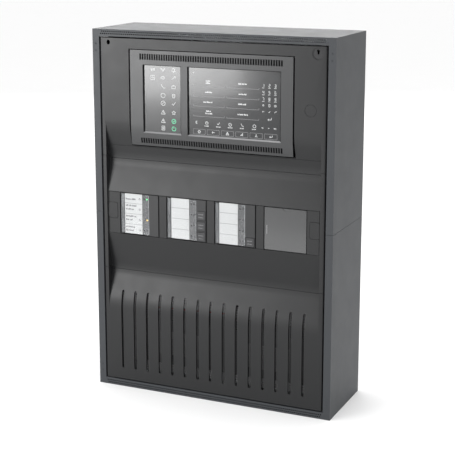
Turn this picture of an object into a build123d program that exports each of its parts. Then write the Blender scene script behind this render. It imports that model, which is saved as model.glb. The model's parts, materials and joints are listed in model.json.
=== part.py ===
from build123d import *
import os

# Wall-mounted fire alarm control panel, in millimetres.
# The back face lies in the plane Y = 0 against the wall and the front faces -Y, with +X to the
# right and +Z up. The origin is the centre of the four wall-screw holes in the back face.

# ---- driving dimensions ----------------------------------------------------------------
WIDTH = 440.0
HEIGHT = 638.0
DEPTH = 150.0
SHEET = 1.5  # folded steel sheet
FLANGE_X = 12.7  # front strips of the side sheets
FLANGE_Z = 12.2  # front strips of the top and bottom sheets
RETURN = 12.0  # inward fold behind each strip
SEAM = 0.4  # open line between neighbouring covers or sheets
DOOR_GAP = 2.3  # between the door and the housing opening

DOOR_SKIN = 2.5  # wall of the plastic door covers
RIM = 7.5  # flush strip down each side of the door
WALL = 2.5  # side wall of the valleys
EDGE_ROUND = 2.0  # rounding of the door's long outer edges

VALLEY = 16.0  # depth of the sharp valley corner before rounding
VALLEY_ROUND = 60.0
SHOULDER_ROUND = 100.0
SHOULDER_TOP = 152.0  # where the top cover bends back
SHOULDER_BOTTOM = -160.0
UPPER_VALLEY = 95.0  # height of the deepest line of each valley
LOWER_VALLEY = -105.0
UPPER_PART = 101.0  # height of the parting line on the side strips
LOWER_PART = -100.0
BAND = 38.0  # half height of the flat band with the modules
BAND_DEPTH = 3.0  # the band lies this far behind the strips

HINGE_X = -201.3
HINGE_Y = -144.9
PIN_R = 1.5
FIT = 0.05  # radial clearance of a turning pin

BEZEL_X = 148.0  # half width of the controller bezel
BEZEL_BOTTOM = 123.0
BEZEL_TOP = 286.0
BEZEL_GAP = 2.6

MODULE_PITCH = 90.4
WINDOW_W = 76.5
WINDOW_H = 74.6
NOSE_W = 73.5  # module front
NOSE_H = 72.6
ROW_PITCH = 18.5  # four rows on each module

LOCK_X = 190.0
LOCK_Z = 293.0
LOCK_R = 10.0

RAIL_FRONT = -80.0  # front face of the mounting rails
RAIL_DEPTH = 6.0

# ---- derived places --------------------------------------------------------------------
HALF_W = WIDTH / 2
HALF_H = HEIGHT / 2
FRONT = -DEPTH
OPEN_X = HALF_W - FLANGE_X
OPEN_Z = HALF_H - FLANGE_Z
DOOR_X = OPEN_X - DOOR_GAP
DOOR_Z = OPEN_Z - DOOR_GAP
INNER_X = DOOR_X - RIM
SKIN_BACK = FRONT + DOOR_SKIN
BAND_FRONT = FRONT + BAND_DEPTH
MODULE_X = [MODULE_PITCH * (slot - 1.5) for slot in range(4)]
ROW_Z = [ROW_PITCH * (1.5 - row) for row in range(4)]

os.makedirs("parts", exist_ok=True)


# ---- helpers ---------------------------------------------------------------------------
def block(x, y, z):
    """A box from its (low, high) limits along X, Y and Z."""
    size = [high - low for low, high in (x, y, z)]
    middle = [(high + low) / 2 for low, high in (x, y, z)]
    return Pos(*middle) * Box(*size)


def both_sides(x, y, z):
    """The same box at +X and, mirrored, at -X."""
    low, high = x
    return block(x, y, z) + block((-high, -low), y, z)


def rod_y(x, z, radius, y_from, y_to):
    """A cylinder along Y."""
    place = Pos(x, (y_from + y_to) / 2, z) * Rot(90, 0, 0)
    return place * Cylinder(radius, abs(y_to - y_from))


def rod_z(x, y, radius, z_from, z_to):
    """A cylinder along Z."""
    return Pos(x, y, (z_from + z_to) / 2) * Cylinder(radius, abs(z_to - z_from))


def plate_xz(outline, y_from, y_to):
    """A flat plate from its (x, z) outline, between two Y planes."""
    face = make_face(Polyline(*[(x, y_from, z) for x, z in outline], close=True))
    return extrude(face, amount=y_to - y_from, dir=(0, 1, 0))


def rounded_xz(x, z, width, height, radius, y_from, y_to):
    """A plate with rounded corners, centred at (x, z), between two Y planes."""
    face = Plane.XZ * RectangleRounded(width, height, radius)
    return extrude(Pos(x, y_from, z) * face, amount=y_to - y_from, dir=(0, 1, 0))


def save(name, *solids):
    """Writes one node; several solids make a group."""
    pieces = []
    for solid in solids:
        pieces += list(solid.solids())
    shape = pieces[0] if len(pieces) == 1 else Compound(children=pieces)
    export_step(shape, f"parts/{name}.step")


# ---- the door's front surface ----------------------------------------------------------
def surface_line(shift):
    """The front surface in the YZ plane from bottom to top, moved back by shift."""
    corners = [
        (FRONT, -DOOR_Z),
        (FRONT, SHOULDER_BOTTOM),
        (FRONT + VALLEY, LOWER_VALLEY),
        (BAND_FRONT, -BAND),
        (BAND_FRONT, BAND),
        (FRONT + VALLEY, UPPER_VALLEY),
        (FRONT, SHOULDER_TOP),
        (FRONT, DOOR_Z),
    ]
    crease = 1.0
    radii = [SHOULDER_ROUND, VALLEY_ROUND, crease, crease, VALLEY_ROUND, SHOULDER_ROUND]
    points = [(0, y + shift, z) for y, z in corners]
    return FilletPolyline(*points, radius=radii)


def between(front_line, back_line, x):
    """A slab across X between two lines that run from the door's bottom to its top."""
    bottom = Line(front_line @ 0, back_line @ 0)
    top = Line(front_line @ 1, back_line @ 1)
    face = make_face([front_line, top, back_line, bottom])
    low, high = x
    return Pos(low, 0, 0) * extrude(face, amount=high - low, dir=(1, 0, 0))


def zone(strip_low, strip_high, middle_low, middle_high):
    """The region that one cover takes: the seam steps where the side strips begin."""
    y = (FRONT - 1, FRONT + VALLEY + 10)
    strips = both_sides((INNER_X, DOOR_X + 1), y, (strip_low, strip_high))
    return strips + block((-INNER_X, INNER_X), y, (middle_low, middle_high))


def door_skin():
    """The whole front of the door, before it is parted into covers and cut for windows."""
    flat = Line((0, FRONT, -DOOR_Z), (0, FRONT, DOOR_Z))
    skin = between(surface_line(0), surface_line(DOOR_SKIN), (-INNER_X, INNER_X))
    for low in (-INNER_X - WALL, INNER_X):
        skin += between(flat, surface_line(DOOR_SKIN), (low, low + WALL))
    rims = both_sides((INNER_X, DOOR_X), (FRONT, SKIN_BACK), (-DOOR_Z, DOOR_Z))
    outer = [
        edge
        for edge in rims.edges().filter_by(Axis.Z)
        if abs(abs(edge.center().X) - DOOR_X) < 0.01 and abs(edge.center().Y - FRONT) < 0.01
    ]
    return skin + fillet(outer, EDGE_ROUND)


# ---- housing sheets --------------------------------------------------------------------
def side_sheet(sign, low, high):
    """Half of one side: plate, front strip mitred at the housing corner, and return."""
    x_out = HALF_W
    plate = block((x_out - SHEET, x_out), (FRONT, 0), (low, high))
    outline = [(OPEN_X, low), (x_out, low), (x_out, high), (OPEN_X, high)]
    if high == HALF_H:
        outline[3] = (OPEN_X, OPEN_Z)
    if low == -HALF_H:
        outline[0] = (OPEN_X, -OPEN_Z)
    strip = plate_xz(outline, FRONT, FRONT + SHEET)
    fold_low, fold_high = max(low, -OPEN_Z), min(high, OPEN_Z)
    fold = block((OPEN_X, OPEN_X + SHEET), (FRONT, FRONT + RETURN), (fold_low, fold_high))
    sheet = plate + strip + fold
    if sign < 0:
        sheet = mirror(sheet, about=Plane.YZ)
    for rivet in sheet_rivets():
        sheet -= rivet
    return sheet


def end_sheet():
    """The top: plate between the side sheets, mitred front strip, and return."""
    inner_x = HALF_W - SHEET
    plate = block((-inner_x, inner_x), (FRONT, 0), (HALF_H - SHEET, HALF_H))
    outline = [(-HALF_W, HALF_H), (HALF_W, HALF_H), (OPEN_X, OPEN_Z), (-OPEN_X, OPEN_Z)]
    strip = plate_xz(outline, FRONT, FRONT + SHEET)
    strip -= both_sides((inner_x, HALF_W + 1), (FRONT - 1, 0), (OPEN_Z, HALF_H + 1))
    fold = block((-OPEN_X, OPEN_X), (FRONT, FRONT + RETURN), (OPEN_Z, OPEN_Z + SHEET))
    return plate + strip + fold


WALL_HOLE_X = 180.0
WALL_HOLE_Z = 280.0
WALL_HOLE_R = 4.0
ENTRY_R = 12.0  # cable entries in the back, closed by grommets
ENTRY_PLACES = [(x, z) for z in (252.0, -45.0) for x in (-120.0, -60.0, 0.0, 60.0, 120.0)]
UPSTAND = 20.0


def back_tray():
    clearance = 0.1
    x, z = HALF_W - SHEET - clearance, HALF_H - SHEET - clearance
    tray = block((-x, x), (-UPSTAND, 0), (-z, z))
    inside = block((SHEET - x, x - SHEET), (-UPSTAND - 1, -SHEET), (SHEET - z, z - SHEET))
    tray -= inside
    for sx in (-1, 1):
        for sz in (-1, 1):
            tray -= rod_y(sx * WALL_HOLE_X, sz * WALL_HOLE_Z, WALL_HOLE_R, -SHEET - 1, 1)
    for x, z in ENTRY_PLACES:
        tray -= rod_y(x, z, ENTRY_R, -SHEET - 1, 1)
    return tray


def cable_grommets():
    """Rubber membranes that close the cable entries until a cable is pushed through."""
    lip = 2.0
    grommets = []
    for x, z in ENTRY_PLACES:
        neck = rod_y(x, z, ENTRY_R, -SHEET, 0)
        flange = rod_y(x, z, ENTRY_R + lip, -SHEET - 2.5, -SHEET)
        dish = rod_y(x, z, ENTRY_R - 3, -SHEET - 3, -SHEET - 1)
        grommets.append(neck + flange - dish)
    return grommets


def sheet_rivets():
    """Small flush rivets in the side strips, two near each corner."""
    x = OPEN_X + FLANGE_X / 2
    places = [(sx * x, sz * z) for sx in (-1, 1) for sz in (-1, 1) for z in (282.5, 294.0)]
    return [rod_y(x, z, 1.6, FRONT - 0.3, FRONT + SHEET + 1) for x, z in places]


def save_housing():
    save("back_tray", back_tray())
    save("top_sheet", end_sheet())
    save("bottom_sheet", mirror(end_sheet(), about=Plane.XY))
    for side, sign in (("left", -1), ("right", 1)):
        save(f"{side}_sheet_upper", side_sheet(sign, SEAM / 2, HALF_H))
        save(f"{side}_sheet_lower", side_sheet(sign, -HALF_H, -SEAM / 2))
    save("sheet_rivets", *sheet_rivets())
    save("cable_grommets", *cable_grommets())


# ---- hinge and lock --------------------------------------------------------------------
BRACKET = 1.2  # thickness of the tongue between the door's end and the housing
PIN_DEPTH = 14.0  # how far each pin reaches into its hinge block
BLOCK_X = (HINGE_X - 3.4, HINGE_X + 3.4)
BLOCK_Y = (SKIN_BACK, SKIN_BACK + 8.0)
BLOCK_H = 20.0


def hinge_pair(build):
    upper = build()
    return upper, mirror(upper, about=Plane.XY)


def hinge_bracket():
    tongue = block((-OPEN_X, -190.0), (FRONT + SHEET, -130.0), (OPEN_Z - BRACKET, OPEN_Z))
    return tongue - rod_z(HINGE_X, HINGE_Y, PIN_R, OPEN_Z - 5, OPEN_Z + 5)


def hinge_pin():
    return rod_z(HINGE_X, HINGE_Y, PIN_R, DOOR_Z - PIN_DEPTH, OPEN_Z)


def hinge_block():
    body = block(BLOCK_X, BLOCK_Y, (DOOR_Z - BLOCK_H, DOOR_Z))
    return body - rod_z(HINGE_X, HINGE_Y, PIN_R + FIT, DOOR_Z - PIN_DEPTH - 0.5, DOOR_Z + 1)


BARREL_R = 8.6
SHAFT_R = 6.0
LOCK_BACK = -137.0
CAM_Y = (-135.6, -133.1)
CAM_REACH = 24.0
CAM_W = 12.0


def lock_body():
    body = rod_y(LOCK_X, LOCK_Z, LOCK_R, FRONT + 0.6, SKIN_BACK)
    body += rod_y(LOCK_X, LOCK_Z, 9.2, SKIN_BACK, LOCK_BACK)
    body -= rod_y(LOCK_X, LOCK_Z, BARREL_R + FIT, FRONT - 1, -146.0)
    return body - rod_y(LOCK_X, LOCK_Z, SHAFT_R + FIT, FRONT - 1, LOCK_BACK + 1)


def lock_barrel():
    """Turns with the key. The keyway runs from the middle towards the rim."""
    barrel = rod_y(LOCK_X, LOCK_Z, BARREL_R, FRONT + 0.9, -146.1)
    barrel += rod_y(LOCK_X, LOCK_Z, SHAFT_R, -146.1, LOCK_BACK)
    barrel += block((LOCK_X - 3, LOCK_X + 3), (LOCK_BACK, CAM_Y[1]), (LOCK_Z - 3, LOCK_Z + 3))
    slot = block((LOCK_X - 1.6, LOCK_X + 1.6), (FRONT, -141.0), (LOCK_Z - 1, LOCK_Z + 5))
    return barrel - slot - rod_y(LOCK_X, LOCK_Z + 4.6, 2.6, FRONT, -147.0)


def lock_cam():
    """Points down when unlocked and hooks behind the strike plate when turned to the right."""
    end_z = LOCK_Z - CAM_REACH + CAM_W / 2
    y0, y1 = CAM_Y
    cam = block((LOCK_X - CAM_W / 2, LOCK_X + CAM_W / 2), CAM_Y, (end_z, LOCK_Z))
    cam += rod_y(LOCK_X, LOCK_Z, CAM_W / 2, y0, y1) + rod_y(LOCK_X, end_z, CAM_W / 2, y0, y1)
    return cam - block((LOCK_X - 3, LOCK_X + 3), (y0 - 1, y1 + 1), (LOCK_Z - 3, LOCK_Z + 3))


def strike_plate():
    x_in = HALF_W - SHEET
    z = (LOCK_Z - 16, LOCK_Z + 13)
    hook = block((OPEN_X - 1.5, x_in), (-137.8, -136.3), z)
    return hook + block((x_in - SHEET, x_in), (-136.3, -112.0), z)


def save_hinge_and_lock():
    save("hinge_brackets", *hinge_pair(hinge_bracket))
    save("hinge_pins", *hinge_pair(hinge_pin))
    save("hinge_blocks", *hinge_pair(hinge_block))
    save("lock_body", lock_body())
    save("lock_barrel", lock_barrel())
    save("lock_cam", lock_cam())
    save("strike_plate", strike_plate())


# ---- door ------------------------------------------------------------------------------
PLUG_X = 178.3
PLUG_Z = 201.3
PLUG_R = 10.0
SIGHT_X = -189.3
SIGHT_Z = 297.0
TAB_X = 187.0
TAB_Z = 4.0
TAB_W = 17.0
TAB_H = 28.0
TAB_ROUND = 3.2
SLOT_COUNT = 15
SLOT_PITCH = 24.45
SLOT_W = 5.2
SLOT_TOP = -140.5
SLOT_BOTTOM = -284.0
BAND_X = INNER_X - 2.0  # half length of the band's opening
HOOK_H = 7.0
HOOK_LAP = 5.0
HOOK_DEPTH = 7.0
HOOK_LIP = 1.5
CREASE = 0.6  # width and depth of the fine groove across the top cover
CREASE_Z = 119.0
BAR = 3.9  # thickness of the inner frame's bars
BAR_DEPTH = 10.0
CROSS_H = 20.0


def top_cover(skin):
    """The upper part of the door, with the openings for the controller and the lock."""
    cover = skin & zone(UPPER_PART + SEAM / 2, DOOR_Z, UPPER_VALLEY + SEAM / 2, DOOR_Z)
    y = (FRONT - 1, FRONT + VALLEY + 5)
    x = BEZEL_X + BEZEL_GAP
    z = (BEZEL_BOTTOM - BEZEL_GAP, BEZEL_TOP + BEZEL_GAP / 2)
    cover -= block((-x, x), y, z)
    cover -= rod_y(LOCK_X, LOCK_Z, LOCK_R, FRONT - 1, SKIN_BACK + 1)
    cover -= rod_y(PLUG_X, PLUG_Z, PLUG_R, FRONT - 1, SKIN_BACK + 1)
    groove = between(surface_line(-1), surface_line(CREASE), (-INNER_X, INNER_X))
    cover -= groove & block((-INNER_X, INNER_X), y, (CREASE_Z - CREASE / 2, CREASE_Z + CREASE / 2))
    return cover - rounded_xz(SIGHT_X, SIGHT_Z, 6.0, 8.0, 2.9, FRONT - 1, SKIN_BACK + 1)


def middle_cover(skin):
    """Both valleys and the strips beside them, with one long opening for the band."""
    valleys = (LOWER_VALLEY + SEAM / 2, UPPER_VALLEY - SEAM / 2)
    cover = skin & zone(LOWER_PART + SEAM / 2, UPPER_PART - SEAM / 2, *valleys)
    half = WINDOW_H / 2
    return cover - block((-BAND_X, BAND_X), (FRONT - 1, BAND_FRONT + 20), (-half, half))


def band_plate(low, high):
    """A flush plate beside a window; its two hooks reach behind the valleys' edges."""
    half = WINDOW_H / 2
    plate = block((low, high), (BAND_FRONT, BAND_FRONT + DOOR_SKIN), (-half + SEAM, half - SEAM))
    hook_y = (BAND_FRONT + DOOR_SKIN, BAND_FRONT + HOOK_DEPTH)
    lip_y = (hook_y[1] - HOOK_LIP, hook_y[1])
    root, tip = half - HOOK_H + SEAM, half + HOOK_LAP
    for root_z, tip_z in ((root, tip), (-tip, -root)):
        plate += block((low, high), lip_y, (root_z, tip_z))
    for end in (-half, half - HOOK_H):
        plate += block((low, high), hook_y, (end + SEAM, end + HOOK_H - SEAM))
    return plate


def window_mullions():
    """Three plates between the four windows."""
    half = WINDOW_W / 2
    return [band_plate(left + half, right - half) for left, right in zip(MODULE_X, MODULE_X[1:])]


def band_ends():
    """The plates at both ends of the band, each with a hole for its release tab."""
    gap = 0.3
    width, height = TAB_W + 2 * gap, TAB_H + 2 * gap
    low, high = MODULE_X[-1] + WINDOW_W / 2, BAND_X - SEAM
    ends = []
    for sign, limits in ((-1, (-high, -low)), (1, (low, high))):
        hole = rounded_xz(sign * TAB_X, TAB_Z, width, height, TAB_ROUND + gap, FRONT, BAND_FRONT + 10)
        ends.append(band_plate(*limits) - hole)
    return ends


def bottom_cover(skin):
    cover = skin & zone(-DOOR_Z, LOWER_PART - SEAM / 2, -DOOR_Z, LOWER_VALLEY - SEAM / 2)
    middle, height = (SLOT_TOP + SLOT_BOTTOM) / 2, SLOT_TOP - SLOT_BOTTOM
    slots = []
    for i in range(SLOT_COUNT):
        x = SLOT_PITCH * (i - (SLOT_COUNT - 1) / 2)
        slots.append(rounded_xz(x, middle, SLOT_W, height, SLOT_W / 2 - 0.1, FRONT - 1, FRONT + VALLEY))
    return cover - Compound(children=slots)


def vent_mesh():
    """Fine woven sheet behind the slots, following the cover's back."""
    x = SLOT_PITCH * (SLOT_COUNT - 1) / 2 + 12
    sheet = between(surface_line(DOOR_SKIN + 0.1), surface_line(DOOR_SKIN + 0.7), (-x, x))
    return sheet & block((-x, x), (FRONT, FRONT + VALLEY), (-296.0, -130.0))


def blanking_plug():
    head = rod_y(PLUG_X, PLUG_Z, PLUG_R - 0.15, FRONT + 0.2, SKIN_BACK)
    return head + rod_y(PLUG_X, PLUG_Z, PLUG_R + 2, SKIN_BACK, SKIN_BACK + 1.5)


def blank_cover():
    """Smooth filler in the fourth module window, snapped in from behind."""
    x = MODULE_X[3]
    front = BAND_FRONT + 0.4

    def layer(inset, y_from, y_to):
        width, height = WINDOW_W - 2 * inset, WINDOW_H - 2 * inset
        return rounded_xz(x, 0, width, height, 1.0, front + y_from, front + y_to)

    cover = layer(1.2, 0, 2.0) + layer(3, 2.0, 8.6) - layer(5, 3.5, 10)
    return cover - rod_y(x, WINDOW_H / 2, 5.0, FRONT, front + 0.8)


def release_tab(sign):
    """Sprung latch button at one end of the band; a collar behind keeps it in the cover."""
    x = sign * TAB_X
    button = rounded_xz(x, TAB_Z, TAB_W, TAB_H, TAB_ROUND, BAND_FRONT - 0.4, BAND_FRONT + 4)
    collar_y = BAND_FRONT + DOOR_SKIN + 1.0
    return button + rounded_xz(x, TAB_Z, TAB_W + 2.5, TAB_H + 4, TAB_ROUND, collar_y, collar_y + 2)


def door_frame():
    """Steel bars behind the covers: two long sides, two ends and two cross members."""
    bar_x = (INNER_X + WALL + 0.3, INNER_X + WALL + 0.3 + BAR)
    bar_y = (SKIN_BACK, SKIN_BACK + BAR_DEPTH)
    side_z = DOOR_Z - 0.7
    frame = both_sides(bar_x, bar_y, (-side_z, side_z))
    for low in (side_z - 3, -side_z):
        frame += block((-bar_x[1], bar_x[1]), bar_y, (low, low + 3))
    cross_back = FRONT + VALLEY + 2.6
    for middle in (UPPER_VALLEY, LOWER_VALLEY):
        z = (middle - CROSS_H / 2, middle + CROSS_H / 2)
        frame += block((-bar_x[1], bar_x[1]), (cross_back - 2.5, cross_back), z)
        frame += both_sides(bar_x, (bar_y[0], cross_back), z)
    for low in (DOOR_Z - BLOCK_H, -DOOR_Z):
        frame -= block((BLOCK_X[0] - 0.05, BLOCK_X[1] + 0.05), BLOCK_Y, (low, low + BLOCK_H))
    return frame - rod_y(LOCK_X, LOCK_Z, 9.3, FRONT, LOCK_BACK + 1)


def save_door():
    skin = door_skin()
    save("top_cover", top_cover(skin))
    save("middle_cover", middle_cover(skin))
    save("window_mullions", *window_mullions())
    save("band_ends", *band_ends())
    save("bottom_cover", bottom_cover(skin))
    save("vent_mesh", vent_mesh())
    save("door_frame", door_frame() - skin)
    save("blanking_plug", blanking_plug())
    save("blank_cover", blank_cover())
    save("release_tab_left", release_tab(-1))
    save("release_tab_right", release_tab(1))


# ---- controller ------------------------------------------------------------------------
BEZEL_BACK = FRONT + 3.0
BEZEL_FOOT = BEZEL_BACK + 4.0  # the bezel's lower edge curves back
VENT_COUNT = 58
VENT_PITCH = 4.5
VENT_W = 2.8
VENT_ROWS = ((270.0, 280.0), (127.5, 136.5))
VENT_THIN_Y = (FRONT + 1.2, FRONT + 4.4)  # the wall is thinner behind each row
BEND_TOP = 160.0  # below this the bezel's front curves back
LEDGE = 141.0  # below this the bezel is thicker
INDICATOR_X = (-124.0, -52.5)
DISPLAY_X = (-40.5, 127.0)
PANEL_Z = (145.5, 261.8)
CASE_X = 146.0
CASE_Z = (126.0, 283.0)


def controller_bezel():
    front = Polyline((0, FRONT, BEZEL_TOP), (0, FRONT, BEND_TOP))
    toe = (0, FRONT + 4.0, BEZEL_BOTTOM)
    curve = TangentArc((0, FRONT, BEND_TOP), toe, tangent=(0, 0, -1))
    back = Polyline(
        toe,
        (0, BEZEL_FOOT, BEZEL_BOTTOM),
        (0, BEZEL_FOOT, LEDGE),
        (0, BEZEL_BACK, LEDGE),
        (0, BEZEL_BACK, BEZEL_TOP),
        (0, FRONT, BEZEL_TOP),
    )
    face = make_face([front, curve, back])
    bezel = Pos(-BEZEL_X, 0, 0) * extrude(face, amount=2 * BEZEL_X, dir=(1, 0, 0))
    for x in (INDICATOR_X, DISPLAY_X):
        bezel -= block(x, (FRONT - 1, BEZEL_BACK + 1), PANEL_Z)
    slots = []
    reach = VENT_PITCH * VENT_COUNT / 2
    for z, thin_y in zip(VENT_ROWS, VENT_THIN_Y):
        recess_z = (z[0] - 1, z[1] + 1)
        bezel -= block((-reach, reach), (thin_y, BEZEL_FOOT + 1), recess_z)
        for i in range(VENT_COUNT):
            middle = VENT_PITCH * (i - (VENT_COUNT - 1) / 2)
            x = (middle - VENT_W / 2, middle + VENT_W / 2)
            slots.append(block(x, (FRONT - 1, FRONT + 9), z))
    return bezel - Compound(children=slots)


def panel(x, thickness):
    """A window panel that sits against the bezel's back."""
    lap = 1.5
    low, high = x
    z = (PANEL_Z[0] - lap, PANEL_Z[1] + lap)
    return block((low - lap, high + lap), (BEZEL_BACK, BEZEL_BACK + thickness), z)


def controller_case():
    case = block((-CASE_X, CASE_X), (BEZEL_BACK, RAIL_FRONT), CASE_Z)
    z_low, z_high = CASE_Z
    inner_y = (BEZEL_BACK - 1, RAIL_FRONT - 2)
    case -= block((2 - CASE_X, CASE_X - 2), inner_y, (z_low + 2, z_high - 2))
    return case - block((-CASE_X, CASE_X), (BEZEL_BACK - 1, BEZEL_FOOT), (z_low - 1, LEDGE + 0.5))


def save_controller():
    save("controller_bezel", controller_bezel())
    save("controller_case", controller_case())
    save("controller_board", block((-138, 138), (-122, -120.4), (132, 277)))
    save("indicator_panel", panel(INDICATOR_X, 3.0))
    save("touch_display", panel(DISPLAY_X, 6.0))


# ---- plug-in modules -------------------------------------------------------------------
COVER_PLATE = 1.8
COVER_RIGHT = 55.0  # clear cover's right edge, from the module's left edge
COVER_AXIS = 2.0
FACE = BAND_FRONT + 2.4  # module face behind the clear cover
RAIL_FACE = BAND_FRONT + 0.2  # raised column that carries the keys
KEY_X = 64.6
KEY_W = 15.4
KEY_H = 15.8
KEY_GAP = 0.4
KEY_BACK = BAND_FRONT + 4.2
KEY_ROWS = {1: (), 2: (1, 2, 3), 3: (3,)}
LAMP_X = (45.3, 50.8)
LABEL_X = (7.5, 41.5)
LABEL_Z = 35.4
EAR_H = 1.2
STUB_R = 0.8
MODULE_HALF_W = 44.0  # the module's body behind the door is wider than its nose
MODULE_HALF_H = 62.0
MODULE_FRONT = -128.0
MODULE_WALL = 2.0


def module_left(number):
    return MODULE_X[number - 1] - NOSE_W / 2 - 0.5


def module_case(number):
    left = module_left(number)
    middle = MODULE_X[number - 1]
    half = NOSE_H / 2
    wide, high = MODULE_HALF_W, MODULE_HALF_H
    body = block((middle - wide, middle + wide), (MODULE_FRONT, RAIL_FRONT), (-high, high))
    wide, high = wide - MODULE_WALL, high - MODULE_WALL
    inner_y = (MODULE_FRONT + MODULE_WALL, RAIL_FRONT + 1)
    body -= block((middle - wide, middle + wide), inner_y, (-high, high))
    nose = block((left, left + NOSE_W), (FACE, MODULE_FRONT), (-half, half))
    nose += block((left + COVER_RIGHT + 0.4, left + NOSE_W), (RAIL_FACE, FACE), (-half, half))
    axis_x, axis_y = left + COVER_AXIS, BAND_FRONT + COVER_PLATE / 2
    for low in (half - EAR_H, -half):
        nose += block((left, left + 5), (BAND_FRONT, FACE), (low, low + EAR_H))
    nose -= rod_z(axis_x, axis_y, STUB_R + FIT, -half - 1, half + 1)
    for row in KEY_ROWS[number]:
        z = (ROW_Z[row] - KEY_H / 2 - KEY_GAP, ROW_Z[row] + KEY_H / 2 + KEY_GAP)
        x = (left + KEY_X - KEY_W / 2 - KEY_GAP, left + KEY_X + KEY_W / 2 + KEY_GAP)
        nose -= block(x, (FRONT, KEY_BACK + 3.2), z)
    return body + nose


def label_cover(number):
    """Clear flap over the label and the lamps, turning on two stub pins at its left edge."""
    left = module_left(number)
    half = NOSE_H / 2 - EAR_H - 0.3
    y = (BAND_FRONT, BAND_FRONT + COVER_PLATE)
    plate = block((left + 1, left + COVER_RIGHT), y, (-half, half))
    stubs = rod_z(left + COVER_AXIS, sum(y) / 2, STUB_R, -half - 1.2, half + 1.2)
    return plate + stubs


def label_cards():
    cards = []
    for number in (1, 2, 3):
        x = [module_left(number) + edge for edge in LABEL_X]
        cards.append(block(x, (FACE - 0.4, FACE), (-LABEL_Z, LABEL_Z)))
    return cards


def module_key(number, row):
    x = module_left(number) + KEY_X
    return rounded_xz(x, ROW_Z[row], KEY_W, KEY_H, 1.0, BAND_FRONT - 0.3, KEY_BACK)


def module_lamps():
    lamps = []
    for number in (1, 2, 3):
        for x in LAMP_X:
            for z in ROW_Z:
                lamps.append(rod_y(module_left(number) + x, z, 1.4, FACE - 0.4, FACE))
    return lamps


def field_terminals():
    """Plug-in screw terminals under the modules for the detector loops."""
    blocks = []
    for x in MODULE_X[:3]:
        body = block((x - 36, x + 36), (-112, -96), (-74, -62))
        for i in range(8):
            body -= block((x - 34 + 9 * i, x - 29 + 9 * i), (-113, -106), (-73, -66))
        blocks.append(body)
    return blocks


def save_modules():
    for number in (1, 2, 3):
        middle = MODULE_X[number - 1]
        board = block((middle - 41, middle + 41), (-86, -84.4), (-59, 59))
        save(f"module_case_{number}", module_case(number))
        save(f"module_board_{number}", board)
        save(f"label_cover_{number}", label_cover(number))
    save("label_cards", *label_cards())
    for number, rows in KEY_ROWS.items():
        for row in rows:
            save(f"module_key_{number}_{row + 1}", module_key(number, row))
    save("module_lamps", *module_lamps())
    save("field_terminals", *field_terminals())


# ---- inside the housing ----------------------------------------------------------------
UPRIGHT_X = (184.0, 198.0)
RAIL_BACK = RAIL_FRONT + RAIL_DEPTH
RAIL_Z = (270.0, 140.0, 50.0, -50.0)
BATTERY_H = 94.0  # a 12 V, 7 Ah block, 151 wide and 65 deep
BATTERY_Y = (-82.0, -17.0)
TAB_SETBACK = 8.0  # the battery's tabs behind its front
TAB_INSET = 14.0  # and in from its ends
SHELF_TOP = -304.0
BATTERY_X = ((-160.0, -9.0), (-3.0, 148.0))
SUPPLY_X = (-172.0, -12.0)
SUPPLY_Y = (-51.5, -SHEET)
SUPPLY_Z = (-192.0, -92.0)


def uprights():
    """Two folded steel posts that stand on the tray and carry the rails."""
    low, high = UPRIGHT_X
    post = both_sides((high - 2, high), (RAIL_BACK, -SHEET), (-296, 296))
    return post + both_sides((low, high), (RAIL_BACK, RAIL_BACK + 2), (-296, 296))


def mounting_rails():
    """Channels that lie across the posts and are open to the back."""
    x = UPRIGHT_X[1]
    rails = []
    for z in RAIL_Z:
        rail = block((-x, x), (RAIL_FRONT, RAIL_BACK), (z - 6, z + 6))
        rail -= block((-x - 1, x + 1), (RAIL_FRONT + SHEET, RAIL_BACK + 1), (z - 4.5, z + 4.5))
        rails.append(rail)
    return rails


def battery(x):
    low, high = x
    z_top = SHELF_TOP + BATTERY_H
    case = fillet(block(x, BATTERY_Y, (SHELF_TOP, z_top)).edges().filter_by(Axis.Z), 3)
    tab_y = (BATTERY_Y[0] + TAB_SETBACK, BATTERY_Y[0] + TAB_SETBACK + 1)
    for middle in (low + TAB_INSET, high - TAB_INSET):
        case += block((middle - 3.2, middle + 3.2), tab_y, (z_top, z_top + 6))
    return case


def battery_shelf():
    x = (-166.0, 154.0)
    y = (BATTERY_Y[0] - 4, -UPSTAND - 0.5)
    shelf = block(x, y, (SHELF_TOP - SHEET, SHELF_TOP))
    shelf += block(x, (y[0], y[0] + SHEET), (SHELF_TOP, SHELF_TOP + 14))
    feet_z = (-HALF_H + SHEET, SHELF_TOP - SHEET)
    for middle in (-150.0, -6.0, 138.0):
        shelf += block((middle - 8, middle + 8), y, feet_z)
    return shelf


def supply_case():
    case = block(SUPPLY_X, SUPPLY_Y, SUPPLY_Z)
    wall = 1.2
    case -= block(*[(low + wall, high - wall) for low, high in (SUPPLY_X, SUPPLY_Y, SUPPLY_Z)])
    vents = []
    for i in range(12):
        left = SUPPLY_X[0] + 20 + 9 * i
        vents.append(block((left, left + 3), (SUPPLY_Y[0] - 1, SUPPLY_Y[0] + 2), (-165, -119)))
    return case - Compound(children=vents)


def terminal_strip(x, y, z, ways):
    """A row of screw terminals, each with a wire pocket."""
    low, high = x
    pitch = (high - low) / ways
    strip = block(x, y, z)
    for i in range(ways):
        left = low + pitch * i + 1.2
        strip -= block((left, left + pitch - 2.4), (y[0] - 1, y[0] + 5), (z[0] + 2, z[0] + 8))
        strip -= rod_y(left + pitch / 2 - 1.2, z[1] - 5, 2.2, y[0] - 1, y[0] + 3)
    return strip


def earth_stud():
    x, z = 140.0, -130.0
    nut = extrude(RegularPolygon(5.8, 6), amount=2.5, both=True)
    return rod_y(x, z, 3.0, -20, -SHEET) + Pos(x, -8, z) * Rot(90, 0, 0) * nut


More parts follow.
